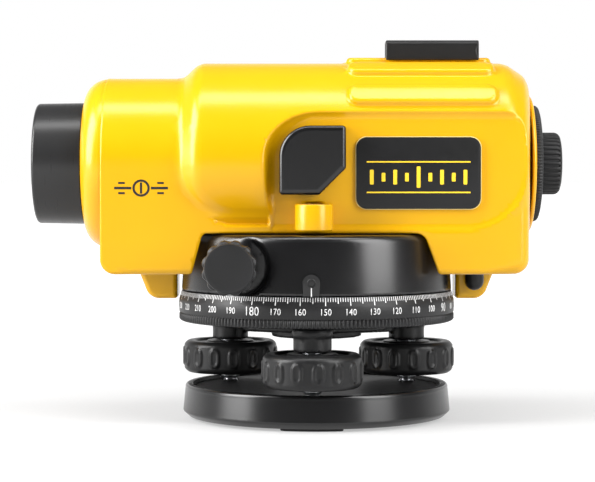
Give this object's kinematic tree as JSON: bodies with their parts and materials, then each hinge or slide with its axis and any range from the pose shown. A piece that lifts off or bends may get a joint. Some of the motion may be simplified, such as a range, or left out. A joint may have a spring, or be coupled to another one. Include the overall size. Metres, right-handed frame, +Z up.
{
  "type": "automatic level",
  "caption": "Surveyor's automatic level: telescope with pendulum compensator on a rotating base, horizontal circle, three foot screws and a round foot for a tripod.",
  "frame": {"origin": "middle of the bounding box's bottom face, in the plane of the foot's pads; the vertical axis is at x = 0.0073", "axes": "+Z up along the vertical axis, +X towards the eyepiece, +Y towards the side with the focusing knob"},
  "size_m": [0.214, 0.13, 0.1543],
  "materials": {
    "yellow_enamel": "semi-gloss moulded yellow",
    "black_plastic": "satin black",
    "black_gloss": "glossy black",
    "black_anodised": "black anodised",
    "grey_plastic": "dark grey satin",
    "cast_aluminium": "as cast",
    "steel": "turned",
    "brass": "turned",
    "optical_glass": "polished",
    "magnet": "ground"
  },
  "bodies": {
    "foot": {"foot_plate": "black_gloss", "tripod_thread_bush": "brass", "ball_retaining_plate": "black_plastic"},
    "screw_rear_left": {"foot_screw_rear_left": "steel"},
    "tribrach": {"tribrach": "black_plastic", "bearing_sleeve": "brass", "drive_gear": "brass"},
    "screw_front": {"foot_screw_front": "steel"},
    "screw_rear_right": {"foot_screw_rear_right": "steel"},
    "knob_front": {"foot_screw_knob_front": "black_plastic"},
    "knob_rear_left": {"foot_screw_knob_rear_left": "black_plastic"},
    "knob_rear_right": {"foot_screw_knob_rear_right": "black_plastic"},
    "circle": {"horizontal_circle": "grey_plastic"},
    "alidade": {"bell": "black_gloss", "circle_index": "black_plastic", "spindle": "steel", "spindle_nut": "steel", "housing": "yellow_enamel", "chassis_plate": "cast_aluminium", "lug_front": "yellow_enamel", "lug_rear": "yellow_enamel", "nose_ring": "yellow_enamel", "objective_hood": "black_anodised", "objective_cell": "black_anodised", "objective_lens": "optical_glass", "lens_retaining_ring": "black_anodised", "telescope_barrel": "black_anodised", "compensator_frame": "cast_aluminium", "fixed_prism_front": "optical_glass", "fixed_prism_rear": "optical_glass", "suspension_tape_near": "steel", "suspension_tape_far": "steel", "damping_magnet": "magnet", "eyepiece_tube": "black_anodised", "reticle_holder": "brass", "reticle": "optical_glass", "rear_collar": "yellow_enamel", "eyepiece_cover": "black_plastic", "vial_cup": "black_anodised", "circular_vial": "optical_glass", "prism_cover": "black_gloss", "viewing_prism": "optical_glass", "peep_sight": "black_plastic", "name_plate": "black_gloss"},
    "drive": {"drive_shaft": "steel", "drive_knob_near": "grey_plastic", "drive_knob_far": "grey_plastic"},
    "focus_drive": {"focus_shaft": "steel", "focus_knob": "black_plastic"},
    "lens_carriage": {"focus_carriage": "black_anodised", "focusing_lens": "optical_glass"},
    "compensator_pendulum": {"pendulum": "brass", "pendulum_prism": "optical_glass"},
    "diopter": {"diopter_ring": "black_plastic"},
    "eye_cell": {"eye_lens_cell": "black_anodised", "eye_lens": "optical_glass"},
    "button": {"check_button": "black_plastic"}
  },
  "joints": [
    {"name": "front_tilt", "type": "hinge", "parent": "foot", "child": "screw_rear_left", "pos_m": [-0.02893, 0.02317, 0.0099], "axis": [-0.999, 0.0454, 0], "range_deg": [-1.34, 1.34]},
    {"name": "rear_right_tilt", "type": "hinge", "parent": "screw_rear_left", "child": "tribrach", "pos_m": [-0.02893, 0.02317, 0.0099], "axis": [0.4602, -0.8878, 0], "range_deg": [-1.34, 1.34]},
    {"name": "front_screw_feed", "type": "slide", "parent": "tribrach", "child": "screw_front", "axis": [0, 0, -1], "range_m": [-0.00151, 0.00151]},
    {"name": "rear_right_screw_feed", "type": "slide", "parent": "tribrach", "child": "screw_rear_right", "axis": [0, 0, -1], "range_m": [-0.00151, 0.00151]},
    {"name": "front_knob_spin", "type": "hinge", "parent": "tribrach", "child": "knob_front", "pos_m": [0.00535, -0.04296, 0.0164], "axis": [0, 0, 1], "range_deg": [-540, 540]},
    {"name": "rear_right_knob_spin", "type": "hinge", "parent": "tribrach", "child": "knob_rear_right", "pos_m": [0.04548, 0.01979, 0.0164], "axis": [0, 0, 1], "range_deg": [-540, 540]},
    {"name": "rear_left_knob_spin", "type": "hinge", "parent": "tribrach", "child": "knob_rear_left", "pos_m": [-0.02893, 0.02317, 0.0164], "axis": [0, 0, 1], "range_deg": [-720, 720]},
    {"name": "circle_turn", "type": "hinge", "parent": "tribrach", "child": "circle", "pos_m": [0.0073, 0, 0.046], "axis": [0, 0, 1], "continuous": true},
    {"name": "telescope_turn", "type": "hinge", "parent": "tribrach", "child": "alidade", "pos_m": [0.0073, 0, 0.0638], "axis": [0, 0, 1], "continuous": true},
    {"name": "drive_spin", "type": "hinge", "parent": "alidade", "child": "drive", "pos_m": [-0.0265, 0, 0.0637], "axis": [0, 1, 0], "continuous": true},
    {"name": "focus_spin", "type": "hinge", "parent": "alidade", "child": "focus_drive", "pos_m": [-0.0267, 0.0432, 0.1041], "axis": [0, 1, 0], "range_deg": [-170, 170]},
    {"name": "focus_travel", "type": "slide", "parent": "alidade", "child": "lens_carriage", "axis": [1, 0, 0], "range_m": [-0.00895, 0.00895]},
    {"name": "pendulum_swing", "type": "hinge", "parent": "alidade", "child": "compensator_pendulum", "pos_m": [0.0133, 0, 0.1168], "axis": [0, 1, 0], "range_deg": [-0.5, 0.5]},
    {"name": "diopter_turn", "type": "hinge", "parent": "alidade", "child": "diopter", "pos_m": [0.0996, 0, 0.1041], "axis": [1, 0, 0], "range_deg": [-170, 170]},
    {"name": "eye_lens_travel", "type": "slide", "parent": "alidade", "child": "eye_cell", "axis": [1, 0, 0], "range_m": [-0.00145, 0.00145]},
    {"name": "check_button_press", "type": "slide", "parent": "alidade", "child": "button", "axis": [0, 0, 1], "range_m": [0, 0.002], "stiffness_N_per_m": 400, "springref_m": -0.0005}
  ],
  "couplings": [
    {"joint": "front_tilt", "follows": "front_knob_spin", "ratio": -0.0024675},
    {"joint": "front_screw_feed", "follows": "front_knob_spin", "m_per_rad": -0.00015915},
    {"joint": "rear_right_tilt", "follows": "rear_right_knob_spin", "ratio": -0.0024675},
    {"joint": "rear_right_screw_feed", "follows": "rear_right_knob_spin", "m_per_rad": -0.00015915},
    {"joint": "focus_travel", "follows": "focus_spin", "m_per_rad": 0.003},
    {"joint": "eye_lens_travel", "follows": "diopter_turn", "m_per_rad": 0.00047746}
  ]
}
